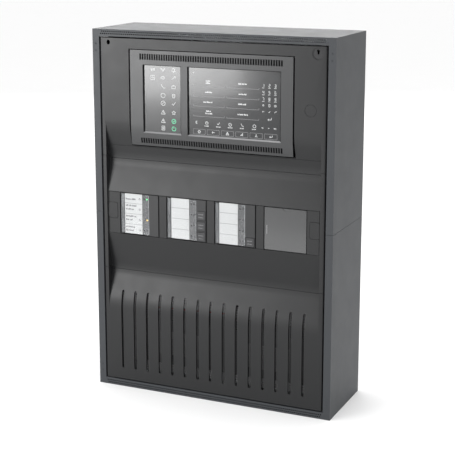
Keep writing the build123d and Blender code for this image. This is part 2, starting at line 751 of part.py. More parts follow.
def ribbon_cable():
    """Flat cable from the controller down to the back of the bus board."""
    points = [(100, -92, 126), (100, -92, 100), (100, -64, 76), (100, -64, 30), (100, -78.4, 30)]
    path = FilletPolyline(*points, radius=[8, 8, 6])
    profile = Plane(origin=points[0], z_dir=(0, 0, -1), x_dir=(1, 0, 0)) * Rectangle(34, 1.0)
    return sweep(profile, path=path)


def battery_leads():
    """Two leads from the power supply down to the battery tabs."""
    tab_y = BATTERY_Y[0] + TAB_SETBACK + 0.5
    tab_z = SHELF_TOP + BATTERY_H + 3.0
    leads = []
    for start_x, low in ((-4.0, BATTERY_X[0][0]), (2.0, BATTERY_X[1][0])):
        end_x = low + TAB_INSET
        points = [
            (start_x, -30, -140),
            (start_x, -62, -140),
            (start_x, -62, -188),
            (end_x, -66, -192),
            (end_x, tab_y, tab_z + 3.0),
        ]
        runs = [(Vector(*b) - Vector(*a)).length for a, b in zip(points, points[1:])]
        radii = [min(10.0, 0.35 * min(pair)) for pair in zip(runs, runs[1:])]
        path = FilletPolyline(*points, radius=radii)
        profile = Plane(origin=points[0], z_dir=(0, -1, 0)) * Circle(1.5)
        leads.append(sweep(profile, path=path))
    return leads


def save_inside():
    save("uprights", uprights())
    save("mounting_rails", *mounting_rails())
    save("bus_board", block((-182, 182), (RAIL_FRONT, RAIL_FRONT + 1.6), (-43, 43)))
    save("battery_shelf", battery_shelf())
    save("battery_1", battery(BATTERY_X[0]))
    save("battery_2", battery(BATTERY_X[1]))
    save("power_supply", supply_case())
    save("power_supply_terminals", terminal_strip((-11.9, 16), (-30, -SHEET), (-160, -130), 4))
    save("mains_terminal", terminal_strip((60, 108), (-28, -SHEET), (-160, -138), 3))
    save("earth_stud", earth_stud())
    save("ribbon_cable", ribbon_cable())
    save("battery_leads", *battery_leads())


save_housing()
save_hinge_and_lock()
save_door()
save_controller()
save_modules()
save_inside()
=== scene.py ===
import json
import math
import random

import bmesh
import bpy
from mathutils import Matrix, Vector


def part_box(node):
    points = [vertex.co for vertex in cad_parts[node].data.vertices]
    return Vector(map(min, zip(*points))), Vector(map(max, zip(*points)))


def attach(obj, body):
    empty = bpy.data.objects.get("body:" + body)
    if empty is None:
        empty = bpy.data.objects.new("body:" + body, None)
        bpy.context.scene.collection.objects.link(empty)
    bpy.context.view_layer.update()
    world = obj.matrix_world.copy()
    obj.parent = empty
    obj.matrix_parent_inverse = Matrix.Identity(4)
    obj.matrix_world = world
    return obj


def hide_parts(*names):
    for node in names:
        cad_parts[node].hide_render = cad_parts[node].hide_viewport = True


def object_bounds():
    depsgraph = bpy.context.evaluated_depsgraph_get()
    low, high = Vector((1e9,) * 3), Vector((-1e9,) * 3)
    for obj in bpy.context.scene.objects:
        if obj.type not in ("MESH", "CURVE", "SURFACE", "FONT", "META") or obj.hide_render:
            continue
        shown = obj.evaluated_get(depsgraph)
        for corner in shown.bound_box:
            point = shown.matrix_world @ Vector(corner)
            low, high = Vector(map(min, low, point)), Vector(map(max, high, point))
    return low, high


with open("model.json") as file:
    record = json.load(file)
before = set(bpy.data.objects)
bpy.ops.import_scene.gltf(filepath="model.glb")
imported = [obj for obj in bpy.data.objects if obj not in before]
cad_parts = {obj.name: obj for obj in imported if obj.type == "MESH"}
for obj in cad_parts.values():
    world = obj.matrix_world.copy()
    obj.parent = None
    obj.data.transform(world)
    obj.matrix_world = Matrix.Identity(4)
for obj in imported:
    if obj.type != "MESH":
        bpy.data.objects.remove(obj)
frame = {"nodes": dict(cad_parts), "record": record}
cad_low, cad_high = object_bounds()

# Places are in millimetres in the CAD frame. Meshes, lights and the camera are in metres.
MM = 0.001
INK = 0.06  # thickness of printed shapes
SHARP_ANGLE = 30.0  # edges that turn more than this stay sharp or are rounded
SLOT_OF = {part["node"]: part["material_slot"] for part in frame["record"]["subparts"]}


def limits(node):
    """A node's box in millimetres as ((x, x), (y, y), (z, z))."""
    low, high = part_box(node)
    return tuple((low[i] / MM, high[i] / MM) for i in range(3))


def mid(pair):
    return (pair[0] + pair[1]) / 2


# ---- mesh building ------------------------------------------------------------------------
class Form:
    """Collects closed solids in millimetres and makes them one object."""

    def __init__(self):
        self.mesh = bmesh.new()

    def loop(self, points):
        return [self.mesh.verts.new(point) for point in points]

    def bridge(self, first, second):
        """Side faces between two loops of equal length."""
        count = len(first)
        for i in range(count):
            j = (i + 1) % count
            self.mesh.faces.new((first[i], first[j], second[j], second[i]))

    def prism(self, outline, y_front, y_back):
        """A closed plate from an (x, z) outline."""
        front = self.loop([(x, y_front, z) for x, z in outline])
        back = self.loop([(x, y_back, z) for x, z in outline])
        self.mesh.faces.new(front)
        self.mesh.faces.new(back)
        self.bridge(front, back)

    def band(self, outer, inner, y_front, y_back):
        """A closed plate between two (x, z) outlines with equal point counts."""
        loops = []
        for outline in (outer, inner):
            loops.append([self.loop([(x, y, z) for x, z in outline]) for y in (y_front, y_back)])
        (outer_front, outer_back), (inner_front, inner_back) = loops
        self.bridge(outer_front, inner_front)
        self.bridge(outer_back, inner_back)
        self.bridge(outer_front, outer_back)
        self.bridge(inner_front, inner_back)

    def box(self, x, y, z):
        self.prism([(x[0], z[0]), (x[1], z[0]), (x[1], z[1]), (x[0], z[1])], *y)

    def lathe(self, x, z, profile, steps=20):
        """A turned shape along Y at (x, z): (radius, y) points, closed on the axis at both ends."""
        rings = []
        for radius, y in profile:
            if radius == 0:
                rings.append([self.mesh.verts.new((x, y, z))])
            else:
                rings.append(self.loop([(px, y, pz) for px, pz in circle(x, z, radius, steps)]))
        for first, second in zip(rings, rings[1:]):
            if len(first) == 1 or len(second) == 1:
                tip, ring = (first[0], second) if len(first) == 1 else (second[0], first)
                for i in range(steps):
                    self.mesh.faces.new((tip, ring[i], ring[(i + 1) % steps]))
            else:
                self.bridge(first, second)

    def stroke(self, points, width, y_front, y_back):
        """A line of even width through (x, z) points."""
        for (x0, z0), (x1, z1) in zip(points, points[1:]):
            length = math.hypot(x1 - x0, z1 - z0)
            nx, nz = (z0 - z1) / length * width / 2, (x1 - x0) / length * width / 2
            self.prism([(x0 + nx, z0 + nz), (x1 + nx, z1 + nz), (x1 - nx, z1 - nz), (x0 - nx, z0 - nz)],
                       y_front, y_back)

    def polyline(self, shape, x, z, size, width, y):
        """Strokes given on a grid from -1 to 1, drawn at (x, z) with the given half size."""
        for points in shape:
            self.stroke([(x + px * size, z + pz * size) for px, pz in points], width, *y)

    def greek(self, x, z, width, height, y, draw):
        """A line of small upright bars in word-like groups, centred at (x, z)."""
        cursor, end = x - width / 2, x + width / 2
        while cursor + height < end:
            for _ in range(draw.randint(2, 6)):
                if cursor + 0.4 * height > end:
                    break
                top = z + height * (0.5 if draw.random() < 0.35 else 0.2)
                self.box((cursor, cursor + 0.4 * height), y, (z - height / 2, top))
                cursor += 0.56 * height
            cursor += 0.4 * height

    def grille(self, xs, zs, is_open, front, back):
        """A plate over a grid of cells without the open ones; front and back give Y at a height."""
        points = {}

        def corner(i, k, side):
            if (i, k, side) not in points:
                place = (xs[i], (front, back)[side](zs[k]), zs[k])
                points[i, k, side] = self.mesh.verts.new(place)
            return points[i, k, side]

        def solid(i, k):
            if not (0 <= i < len(xs) - 1 and 0 <= k < len(zs) - 1):
                return False
            return not is_open(mid(xs[i:i + 2]), mid(zs[k:k + 2]))

        for i in range(len(xs) - 1):
            for k in range(len(zs) - 1):
                if not solid(i, k):
                    continue
                ring = ((i, k), (i + 1, k), (i + 1, k + 1), (i, k + 1))
                for side in (0, 1):
                    self.mesh.faces.new([corner(*place, side) for place in ring])
                steps = ((0, -1), (1, 0), (0, 1), (-1, 0))
                for edge, (di, dk) in enumerate(steps):
                    if not solid(i + di, k + dk):
                        a, b = ring[edge], ring[(edge + 1) % 4]
                        wall = (corner(*a, 0), corner(*b, 0), corner(*b, 1), corner(*a, 1))
                        self.mesh.faces.new(wall)

    def object(self, name, material, smooth=30):
        """The finished object, smooth except across edges sharper than the given angle."""
        bmesh.ops.recalc_face_normals(self.mesh, faces=self.mesh.faces)
        self.mesh.transform(Matrix.Scale(MM, 4))
        for face in self.mesh.faces:
            face.smooth = True
        for edge in self.mesh.edges:
            edge.smooth = edge.calc_face_angle(math.pi) < math.radians(smooth)
        data = bpy.data.meshes.new(name)
        self.mesh.to_mesh(data)
        self.mesh.free()
        data.materials.append(material)
        made = bpy.data.objects.new(name, data)
        bpy.context.scene.collection.objects.link(made)
        return made

    def piece(self, name, body, slot, finish=None, replaces=(), bevel=0.0):
        """The finished object on a body, in its slot's material or a special finish."""
        return mounted(self.object(name, MATERIAL[finish or slot]), body, replaces, bevel)


def mounted(made, body, replaces=(), bevel=0.0):
    if bevel:
        round_edges(made, bevel, whole_faces=False)
    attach(made, body)
    if replaces:
        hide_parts(*replaces)
    return made


def circle(x, z, radius, steps=20, start=0.0):
    turns = [start + 2 * math.pi * i / steps for i in range(steps)]
    return [(x + radius * math.cos(t), z + radius * math.sin(t)) for t in turns]


def oblong(x, z, width, height, radius=0.0, steps=4):
    """A rectangle's outline with rounded corners."""
    if not radius:
        dx, dz = width / 2, height / 2
        return [(x - dx, z - dz), (x + dx, z - dz), (x + dx, z + dz), (x - dx, z + dz)]
    points = []
    for quarter, (sx, sz) in enumerate(((1, 1), (-1, 1), (-1, -1), (1, -1))):
        cx, cz = x + sx * (width / 2 - radius), z + sz * (height / 2 - radius)
        for i in range(steps + 1):
            turn = math.pi / 2 * (quarter + i / steps)
            points.append((cx + radius * math.cos(turn), cz + radius * math.sin(turn)))
    return points


def welded_shading():
    """A node group that joins split faces and shades them by the angle between them."""
    group = bpy.data.node_groups.new("welded_shading", "GeometryNodeTree")
    group.interface.new_socket("Mesh", in_out="INPUT", socket_type="NodeSocketGeometry")
    group.interface.new_socket("Mesh", in_out="OUTPUT", socket_type="NodeSocketGeometry")
    kinds = ("NodeGroupInput", "GeometryNodeMergeByDistance", "GeometryNodeInputMeshEdgeAngle",
             "FunctionNodeCompare", "GeometryNodeSetMeshNormal", "NodeGroupOutput")
    source, weld, angle, compare, shading, result = [group.nodes.new(kind) for kind in kinds]
    weld.inputs["Distance"].default_value = 0.00001
    compare.inputs[1].default_value = math.radians(SHARP_ANGLE)
    shading.inputs["Remove Custom"].default_value = True
    group.links.new(source.outputs[0], weld.inputs["Geometry"])
    group.links.new(weld.outputs[0], shading.inputs["Mesh"])
    group.links.new(angle.outputs["Unsigned Angle"], compare.inputs[0])
    group.links.new(compare.outputs[0], shading.inputs["Edge Sharpness"])
    group.links.new(shading.outputs[0], result.inputs[0])
    return group


def round_edges(target, width, segments=2, whole_faces=True):
    """Joins the CAD mesh's split faces, makes flat ones whole and rounds the sharp edges."""
    target.modifiers.new("weld", "NODES").node_group = WELDED_SHADING
    if whole_faces:
        whole = target.modifiers.new("whole_faces", "DECIMATE")
        whole.decimate_type = "DISSOLVE"
        whole.angle_limit = math.radians(0.3)
        whole.delimit = {"SHARP"}
    bevel = target.modifiers.new("round", "BEVEL")
    bevel.width = width * MM
    bevel.segments = segments
    bevel.limit_method = "ANGLE"
    bevel.angle_limit = math.radians(SHARP_ANGLE)
    bevel.harden_normals = True
    bevel.miter_outer = "MITER_ARC"


WELDED_SHADING = welded_shading()


# ---- camera, floor and light --------------------------------------------------------------
def direction(azimuth, elevation):
    """Unit vector from the object towards a viewer at these angles in degrees."""
    a, e = math.radians(azimuth), math.radians(elevation)
    return Vector((math.sin(a) * math.cos(e), -math.cos(a) * math.cos(e), math.sin(e)))


def make_camera():
    data = bpy.data.cameras.new("camera")
    camera = bpy.data.objects.new("camera", data)
    bpy.context.scene.collection.objects.link(camera)
    data.sensor_width = 36.0
    data.lens = 97.9
    data.shift_y = -0.08
    data.clip_end = 60.0
    camera.location = Vector((858.3, -1991.8, 493.1)) * MM
    camera.rotation_mode = "QUATERNION"
    camera.rotation_quaternion = (-direction(24.14, 12.18)).to_track_quat("-Z", "Y")
    bpy.context.scene.camera = camera


def make_floor():
    form = Form()
    half = 16000.0
    bottom = cad_low.z / MM
    corners = ((-half, -half), (half, -half), (half, half), (-half, half))
    form.mesh.faces.new(form.loop([(x, y, bottom) for x, y in corners]))
    floor = form.object("floor", recipe("floor", (0.97, 0.97, 0.97), 0.8, mottle=0.01).material)


def softbox(name, place, aim, size, radiance):
    """A rectangular light of even brightness that the camera can't see."""
    data = bpy.data.lights.new(name, "AREA")
    data.shape = "RECTANGLE"
    data.size, data.size_y = size
    data.energy = radiance * math.pi * size[0] * size[1]
    light = bpy.data.objects.new(name, data)
    bpy.context.scene.collection.objects.link(light)
    light.location = place
    light.rotation_mode = "QUATERNION"
    light.rotation_quaternion = (Vector(aim) - Vector(place)).to_track_quat("-Z", "Y")
    light.visible_camera = False


def make_lights():
    scene = bpy.context.scene
    scene.view_settings.view_transform = "Standard"
    scene.world = bpy.data.worlds.new("studio")
    scene.world.use_nodes = True
    background = scene.world.node_tree.nodes["Background"]
    background.inputs["Color"].default_value = (1, 1, 1, 1)
    background.inputs["Strength"].default_value = 1.0
    softbox("key_card", (-1.12, -1.7, 0.2), (0, -0.15, 0.15), (0.95, 0.5), 14.0)
    softbox("top_box", (-0.3, 0.1, 2.0), (0, -0.05, 0), (1.4, 1.0), 2.5)
    softbox("low_card", (-0.35, -1.12, -0.31), (-0.35, -1.12, 1.0), (0.8, 0.3), 2.2)
    softbox("floor_light", (0.3, -0.9, 1.6), (0.2, -0.8, 0), (0.8, 0.8), 4.0)
    softbox("back_card", (-1.7, 3.4, 0.75), (0, 0, 0.3), (2.4, 0.7), 3.0)


# ---- materials ------------------------------------------------------------------------------
class Recipe:
    """A node material: patterns in object space feed one Principled shader."""

    def __init__(self, name, color, roughness, metallic=0.0, **sockets):
        self.material = bpy.data.materials.new(name)
        self.material.use_nodes = True
        self.tree = self.material.node_tree
        self.shader = self.tree.nodes["Principled BSDF"]
        self.set("Base Color", (*color, 1))
        self.set("Roughness", roughness)
        self.set("Metallic", metallic)
        for key, value in sockets.items():
            self.set(key.replace("_", " "), value)

    def set(self, socket, value):
        self.shader.inputs[socket].default_value = value

    def link(self, source, target):
        self.tree.links.new(source, target)

    def node(self, kind, **values):
        """A node with its sockets set by name, such as From_Min."""
        made = self.tree.nodes.new("ShaderNode" + kind)
        for key, value in values.items():
            made.inputs[key.replace("_", " ")].default_value = value
        return made

    def space(self, stretch=(1, 1, 1)):
        """Object coordinates in metres, stretched along each axis."""
        mapping = self.node("Mapping", Scale=stretch)
        self.link(self.node("TexCoord").outputs["Object"], mapping.inputs["Vector"])
        return mapping.outputs["Vector"]

    def noise(self, scale, detail=2.0, stretch=(1, 1, 1)):
        texture = self.node("TexNoise", Scale=scale, Detail=detail)
        self.link(self.space(stretch), texture.inputs["Vector"])
        return texture.outputs["Fac"]

    def cells(self, scale, feature="F1", output="Distance", stretch=(1, 1, 1)):
        texture = self.node("TexVoronoi", Scale=scale)
        texture.feature = feature
        self.link(self.space(stretch), texture.inputs["Vector"])
        return texture.outputs[output]

    def along(self, axis):
        """The object coordinate along one axis, in metres."""
        split = self.node("SeparateXYZ")
        self.link(self.space(), split.inputs[0])
        return split.outputs[axis]

    def remap(self, value, start, end, low, high):
        mapper = self.node("MapRange", From_Min=start, From_Max=end, To_Min=low, To_Max=high)
        self.link(value, mapper.inputs["Value"])
        return mapper.outputs["Result"]

    def math(self, operation, first, second):
        joined = self.node("Math")
        joined.operation = operation
        for value, socket in zip((first, second), joined.inputs):
            if isinstance(value, float):
                socket.default_value = value
            else:
                self.link(value, socket)
        return joined.outputs[0]

    def blend(self, factor, first, second):
        """Base colour that runs from the first colour to the second."""
        mixer = self.node("MixRGB")
        for socket, value in (("Color1", first), ("Color2", second)):
            if isinstance(value, tuple):
                mixer.inputs[socket].default_value = (*value, 1)
            else:
                self.link(value, mixer.inputs[socket])
        self.link(factor, mixer.inputs["Fac"])
        self.link(mixer.outputs["Color"], self.shader.inputs["Base Color"])

    def relief(self, value, depth):
        bump = self.node("Bump", Distance=depth)
        self.link(value, bump.inputs["Height"])
        self.link(bump.outputs["Normal"], self.shader.inputs["Normal"])

    def gloss(self, value, low, high):
        rough = self.remap(value, 0.3, 0.7, low, high)
        self.link(rough, self.shader.inputs["Roughness"])


def tone(color, factor):
    return tuple(min(1.0, channel * factor) for channel in color)


def recipe(name, color, roughness, mottle=0.06, grain=0.0, depth=0.00003, **sockets):
    """The usual build: cloudy colour, uneven gloss and, with a grain scale, a fine relief."""
    made = Recipe(name, color, roughness, **sockets)
    made.blend(made.noise(9.0, 3.0), tone(color, 1 - mottle), tone(color, 1 + mottle))
    made.gloss(made.noise(34.0), roughness * 0.95, roughness * 1.05)
    if grain:
        made.relief(made.noise(grain, 1.0), depth)
    return made


def housing_paint():
    """Fine textured powder coat, slightly blue grey."""
    return recipe("housing_paint", (0.043, 0.046, 0.05), 0.42, 0.04, 900.0, 0.00006,
                  Specular_IOR_Level=0.18)


def door_plastic():
    return recipe("door_plastic", (0.012, 0.0124, 0.013), 0.38, 0.04, 1400.0, 0.00002,
                  Specular_IOR_Level=0.28)


def bezel_plastic():
    return recipe("bezel_plastic", (0.022, 0.0228, 0.024), 0.34, 0.04, 1400.0, 0.00002,
                  Specular_IOR_Level=0.4)


def module_plastic():
    return recipe("module_plastic", (0.014, 0.0145, 0.0155), 0.4, 0.06, 1200.0, 0.00002,
                  Specular_IOR_Level=0.35)


def key_plastic():
    return recipe("key_plastic", (0.016, 0.0165, 0.018), 0.3, 0.06, 1500.0, 0.00001,
                  Specular_IOR_Level=0.4)


def black_plastic():
    return recipe("black_plastic", (0.012, 0.012, 0.013), 0.45, 0.1, 1000.0, 0.00003)


def screen():
    return recipe("screen_glass", (0.015, 0.016, 0.017), 0.17, 0.03, Coat_Weight=0.1, Coat_Roughness=0.05)


def indicator():
    return recipe("indicator_glass", (0.014, 0.015, 0.016), 0.2, 0.03, Coat_Weight=0.2, Coat_Roughness=0.08)


def blank():
    return recipe("blank_gloss", (0.018, 0.019, 0.02), 0.2, 0.04, Coat_Weight=0.3, Coat_Roughness=0.1)


def label():
    """Matt card with faint paper fibres."""
    return recipe("label_card", (0.57, 0.57, 0.562), 0.75, 0.01, 2600.0, 0.00001)


def lamp():
    return recipe("lamp_lens", (0.01, 0.01, 0.01), 0.2, 0.1)


def clear_cover():
    """Thin clear plastic: mostly see-through, with a sheen that grows at shallow angles."""
    made = Recipe("clear_cover", (0.9, 0.92, 0.93), 0.06)
    sheen = made.node("BsdfGlossy", Color=(1, 1, 1, 1))
    through = made.node("BsdfTransparent", Color=(0.97, 0.975, 0.98, 1))
    fresnel = made.node("Fresnel", IOR=1.27)
    made.link(made.remap(made.noise(25.0), 0.3, 0.7, 0.11, 0.16), sheen.inputs["Roughness"])
    mixer = made.node("MixShader")
    made.link(fresnel.outputs[0], mixer.inputs[0])
    made.link(through.outputs[0], mixer.inputs[1])
    made.link(sheen.outputs[0], mixer.inputs[2])
    made.link(mixer.outputs[0], made.tree.nodes["Material Output"].inputs["Surface"])
    return made


def steel():
    """Zinc-plated steel with a faint drawn grain."""
    made = recipe("zinc_steel", (0.5, 0.5, 0.49), 0.34, 0.08, Metallic=1.0)
    made.relief(made.noise(260.0, 2.0, (1, 1, 14)), 0.00002)
    return made


def tray_steel():
    """Galvanised sheet: large grey crystals with different gloss."""
    made = Recipe("galvanised", (0.5, 0.51, 0.52), 0.42, Metallic=0.85)
    crystals = made.cells(70.0, output="Color")
    grey = made.node("SeparateXYZ")
    made.link(crystals, grey.inputs[0])
    made.blend(grey.outputs[0], (0.4, 0.41, 0.42), (0.56, 0.57, 0.58))
    made.gloss(grey.outputs[1], 0.34, 0.55)
    made.relief(made.noise(500.0), 0.00002)
    return made


def supply_metal():
    made = recipe("supply_case", (0.6, 0.61, 0.62), 0.4, 0.05, Metallic=0.9)
    made.relief(made.noise(200.0, 2.0, (20, 1, 1)), 0.00002)
    return made


def lock_metal():
    return recipe("dark_nickel", (0.02, 0.02, 0.021), 0.35, 0.1, 600.0, 0.00002, Metallic=0.6)


def brass():
    return recipe("brass", (0.6, 0.44, 0.2), 0.32, 0.1, 300.0, 0.00003, Metallic=1.0)


def mesh():
    return recipe("vent_sheet", (0.018, 0.018, 0.019), 0.45, 0.1, 500.0, 0.00003)


def board():
    """Solder mask over copper tracks: slim lanes a shade lighter than the ground."""
    made = Recipe("solder_mask", (0.01, 0.075, 0.035), 0.32, Coat_Weight=0.4)
    lanes = made.cells(180.0, "DISTANCE_TO_EDGE", stretch=(1, 0.1, 2.2))
    made.blend(made.remap(lanes, 0.03, 0.09, 0, 1), (0.018, 0.12, 0.055), (0.008, 0.06, 0.028))
    made.relief(made.remap(lanes, 0.03, 0.09, 0, 1), 0.00003)
    return made


def terminal():
    return recipe("terminal_green", (0.03, 0.17, 0.07), 0.42, 0.06, 1200.0, 0.00002)


def battery():
    return recipe("battery_case", (0.03, 0.03, 0.033), 0.5, 0.08, 1000.0, 0.00004)


def painted_shade_black():
    """Unlit black for painted shade: near-zero colour and gloss, with an open-cell relief, for the sheets
    put in shadowed gaps and slots.
    """
    made = recipe("painted_shade_seal", (0.008, 0.008, 0.0085), 0.95, 0.2, Specular_IOR_Level=0.04)
    made.relief(made.cells(1600.0), 0.0001)
    return made


def grommet():
    return recipe("rubber", (0.015, 0.015, 0.015), 0.75, 0.15, 700.0, 0.00005)


def lead():
    return recipe("red_lead", (0.28, 0.015, 0.012), 0.4, 0.08, 900.0, 0.00002)


def ribbon():
    """Flat cable: ribs along its length and one marked edge conductor."""
    made = Recipe("flat_cable", (0.3, 0.31, 0.33), 0.5)
    across = made.along(0)
    ribs = made.math("SINE", made.math("MULTIPLY", across, 2 * math.pi / 0.00127), 0.0)
    made.blend(made.remap(ribs, -1, 1, 0, 1), (0.2, 0.21, 0.22), (0.36, 0.37, 0.39))
    made.relief(ribs, 0.0002)
    return made


def ink_white():
    """Light print behind the glass, a little uneven."""
    return recipe("ink_white", (0.6, 0.61, 0.61), 0.5, 0.05, 2000.0, 0.00001)


def ink_grey():
    return recipe("ink_grey", (0.2, 0.2, 0.205), 0.5, 0.05, 2000.0, 0.00001)


def ink_dark():
    return recipe("ink_dark", (0.07, 0.07, 0.075), 0.6, 0.05, 2000.0, 0.00001)


def ink_green():
    return recipe("ink_green", (0.1, 0.55, 0.3), 0.4, 0.05, 2000.0, 0.00001)


def lit_green():
    return recipe("lit_green", (0.05, 0.6, 0.15), 0.3, 0.05, 900.0, 0.00001,
                  Emission_Color=(0.1, 0.9, 0.25, 1), Emission_Strength=0.8)


def lit_amber():
    return recipe("lit_amber", (0.8, 0.5, 0.1), 0.3, 0.05, 900.0, 0.00001,
                  Emission_Color=(1.0, 0.7, 0.2, 1), Emission_Strength=0.9)


def frosted():
    """Ground edge of the clear flaps."""
    return recipe("frosted_edge", (0.16, 0.165, 0.17), 0.5, 0.06, 1500.0, 0.00002)


def ledge():
    """Bezel band under each window, painted lighter than the bezel as a highlight for the light its sloped
    face catches.
    """
    return recipe("bezel_ledge_highlight", (0.2, 0.2, 0.205), 0.3, 0.04, 1400.0, 0.00001)


def column():
    """Grey panel round the lamps."""
    return recipe("lamp_panel", (0.05, 0.051, 0.053), 0.45, 0.04, 1400.0, 0.00001)


# Light grey for the flaps' edges: a painted highlight where the clear edges catch the light.
def painted_edge_highlight():
    return recipe("painted_edge_highlight", (0.5, 0.51, 0.52), 0.25, 0.06, 700.0, 0.00002)


MAKERS = (housing_paint, tray_steel, door_plastic, bezel_plastic, black_plastic, module_plastic,
          key_plastic, screen, indicator, clear_cover, label, lamp, blank, steel, lock_metal, mesh,
          board, battery, terminal, supply_metal, grommet, brass, lead, ribbon, ink_white,
          ink_grey, ink_dark, ink_green, lit_green, lit_amber, frosted, painted_edge_highlight, ledge, painted_shade_black,
          column)
MATERIAL = {maker.__name__: maker().material for maker in MAKERS}

# Edge rounding of the carried-over CAD nodes, in millimetres.
ROUNDING = {
    "housing_paint": 0.7, "tray_steel": 0.3, "door_plastic": 0.35, "bezel_plastic": 0.4,
    "black_plastic": 0.5, "module_plastic": 0.4, "key_plastic": 0.6, "blank": 0.5, "steel": 0.25,
    "lock_metal": 0.25, "board": 0.2, "battery": 1.0, "terminal": 0.3, "supply_metal": 0.4,
    "brass": 0.3, "clear_cover": 0.25, "screen": 0.3, "indicator": 0.3,
}
SLOTTED = ("power_supply", "bottom_cover")  # faces with many openings stay split

# Nodes whose finish differs from their slot's.
OTHER_FINISH = {"hinge_brackets": "lock_metal", "hinge_pins": "lock_metal",
                "blanking_plug": "door_plastic", "door_frame": "housing_paint"}


def dress_nodes():
    """Gives every CAD node its slot's material and softens its edges."""
    for name, node in frame["nodes"].items():
        slot = SLOT_OF[name]
        for place in node.material_slots:
            place.link = "OBJECT"
            place.material = MATERIAL[OTHER_FINISH.get(name, slot)]
        if slot in ROUNDING:
            round_edges(node, ROUNDING[slot], whole_faces=name not in SLOTTED)


# ---- housing ----------------------------------------------------------------------------------
HOLE_PITCH = 3.7
HOLE_R = 1.25
HOLE_ROWS = (311.3, 315.1)  # heights of the two rows of small holes in the top front strip
HOLE_COUNT = 111  # in the outer of the staggered rows
RIVET_X = 213.65
RIVET_Z = (282.5, 294.0)
SLOT_PITCH = 24.45
SLOT_COUNT = 15
SLOT_REACH = 2.6  # the vent sheet shows this far from a slot's middle
VENT_PITCH = 4.4  # between the vent sheet's holes
VENT_HOLE_R = 1.8


def pierced(node_name, drills, name, bevel):
    """A copy of a CAD node's shape with holes through it, which stands for the node."""
    node = frame["nodes"][node_name]
    slot = SLOT_OF[node_name]
    collection = bpy.context.scene.collection
    cutter = drills.object("drills", MATERIAL[slot])
    blank_sheet = bpy.data.objects.new("uncut", node.data.copy())
    collection.objects.link(blank_sheet)
    blank_sheet.matrix_world = node.matrix_world
    blank_sheet.modifiers.new("weld", "NODES").node_group = WELDED_SHADING
    cut = blank_sheet.modifiers.new("holes", "BOOLEAN")
    cut.object = cutter
    cut.solver = "EXACT"
    graph = bpy.context.evaluated_depsgraph_get()
    shape = bpy.data.meshes.new_from_object(blank_sheet.evaluated_get(graph))
    shape.transform(blank_sheet.matrix_world)
    shape.materials.clear()
    shape.materials.append(MATERIAL[slot])
    for spare in (cutter, blank_sheet):
        bpy.data.objects.remove(spare)
    made = bpy.data.objects.new(name, shape)
    collection.objects.link(made)
    return mounted(made, "housing", [node_name], bevel)


def perforated_strips():
    """Two staggered rows of small round holes in the top and in the bottom front strip."""
    front = limits("top_sheet")[1][0]
    for node_name, sign in (("top_sheet", 1), ("bottom_sheet", -1)):
        drills = Form()
        for row, height in enumerate(HOLE_ROWS):
            count = HOLE_COUNT - row
            for i in range(count):
                x = (i - (count - 1) / 2) * HOLE_PITCH
                drills.prism(circle(x, sign * height, HOLE_R, 8), front - 1, front + 3)
        pierced(node_name, drills, node_name + "_pierced", 0.12)


def blind_rivets():
    """Domed rivet heads with a sunken centre."""
    form = Form()
    low, high = limits("sheet_rivets")[1]
    for sx in (-1, 1):
        for sz in (-1, 1):
            for height in RIVET_Z:
                x = sx * RIVET_X
                profile = [(0, low + 0.9), (0.8, low + 0.9), (0.9, low + 0.1), (1.5, low), (2.0, low + 0.3),
                           (2.1, low + 0.6), (2.1, high), (0, high)]
                form.lathe(x, sz * height, profile, 16)
    form.piece("blind_rivets", "housing", "steel", "housing_paint", ["sheet_rivets"])


def vent_sheet():
    """Perforated sheet that follows the cover's back, with round holes in a hexagonal pattern."""
    node = frame["nodes"]["vent_mesh"]
    (x_low, x_high), (y_front, _), (z_low, z_high) = limits("vent_mesh")
    column = VENT_PITCH * math.sqrt(3) / 2
    half = VENT_PITCH / math.sqrt(3)
    depth = {}

    def surface(z):
        key = round(z, 3)
        if key not in depth:
            inverse = node.matrix_world.inverted()
            start = inverse @ (Vector((0, y_front - 50, min(max(z, z_low + 0.01), z_high - 0.01))) * MM)
            _, place, _, _ = node.ray_cast(start, Vector((0, 1, 0)))
            depth[key] = (node.matrix_world @ place).y / MM
        return depth[key]

    form = Form()
    spots = {}

    def spot(x, z):
        key = (round(x, 2), round(z, 2))
        if key not in spots:
            spots[key] = form.mesh.verts.new((x, surface(z) + 0.3, z))
        return spots[key]

    slots = [SLOT_PITCH * (i - SLOT_COUNT // 2) for i in range(SLOT_COUNT)]
    for i in range(int((x_high - x_low) / column)):
        x = x_low + column * (i + 0.75)
        if min(abs(x - slot) for slot in slots) > SLOT_REACH + column:
            continue
        shift = VENT_PITCH / 2 if i % 2 else 0
        for k in range(int((z_high - z_low) / VENT_PITCH) - 1):
            z = z_low + VENT_PITCH * (k + 0.6) + shift
            corners = circle(x, z, half, 6)
            rim = []
            for a, b in zip(corners, corners[1:] + corners[:1]):
                rim += [a, ((a[0] + b[0]) / 2, (a[1] + b[1]) / 2)]
            outer = [spot(*place) for place in rim]
            inner = [form.mesh.verts.new((px, surface(pz) + 0.3, pz))
                     for px, pz in circle(x, z, VENT_HOLE_R, 12)]
            form.bridge(outer, inner)
    made = form.object("vent_sheet", MATERIAL["mesh"])
    thick = made.modifiers.new("thickness", "SOLIDIFY")
    thick.thickness = 0.5 * MM
    thick.offset = 0.0
    mounted(made, "door", ["vent_mesh"])


def make_housing_details():
    perforated_strips()
    blind_rivets()
    vent_sheet()


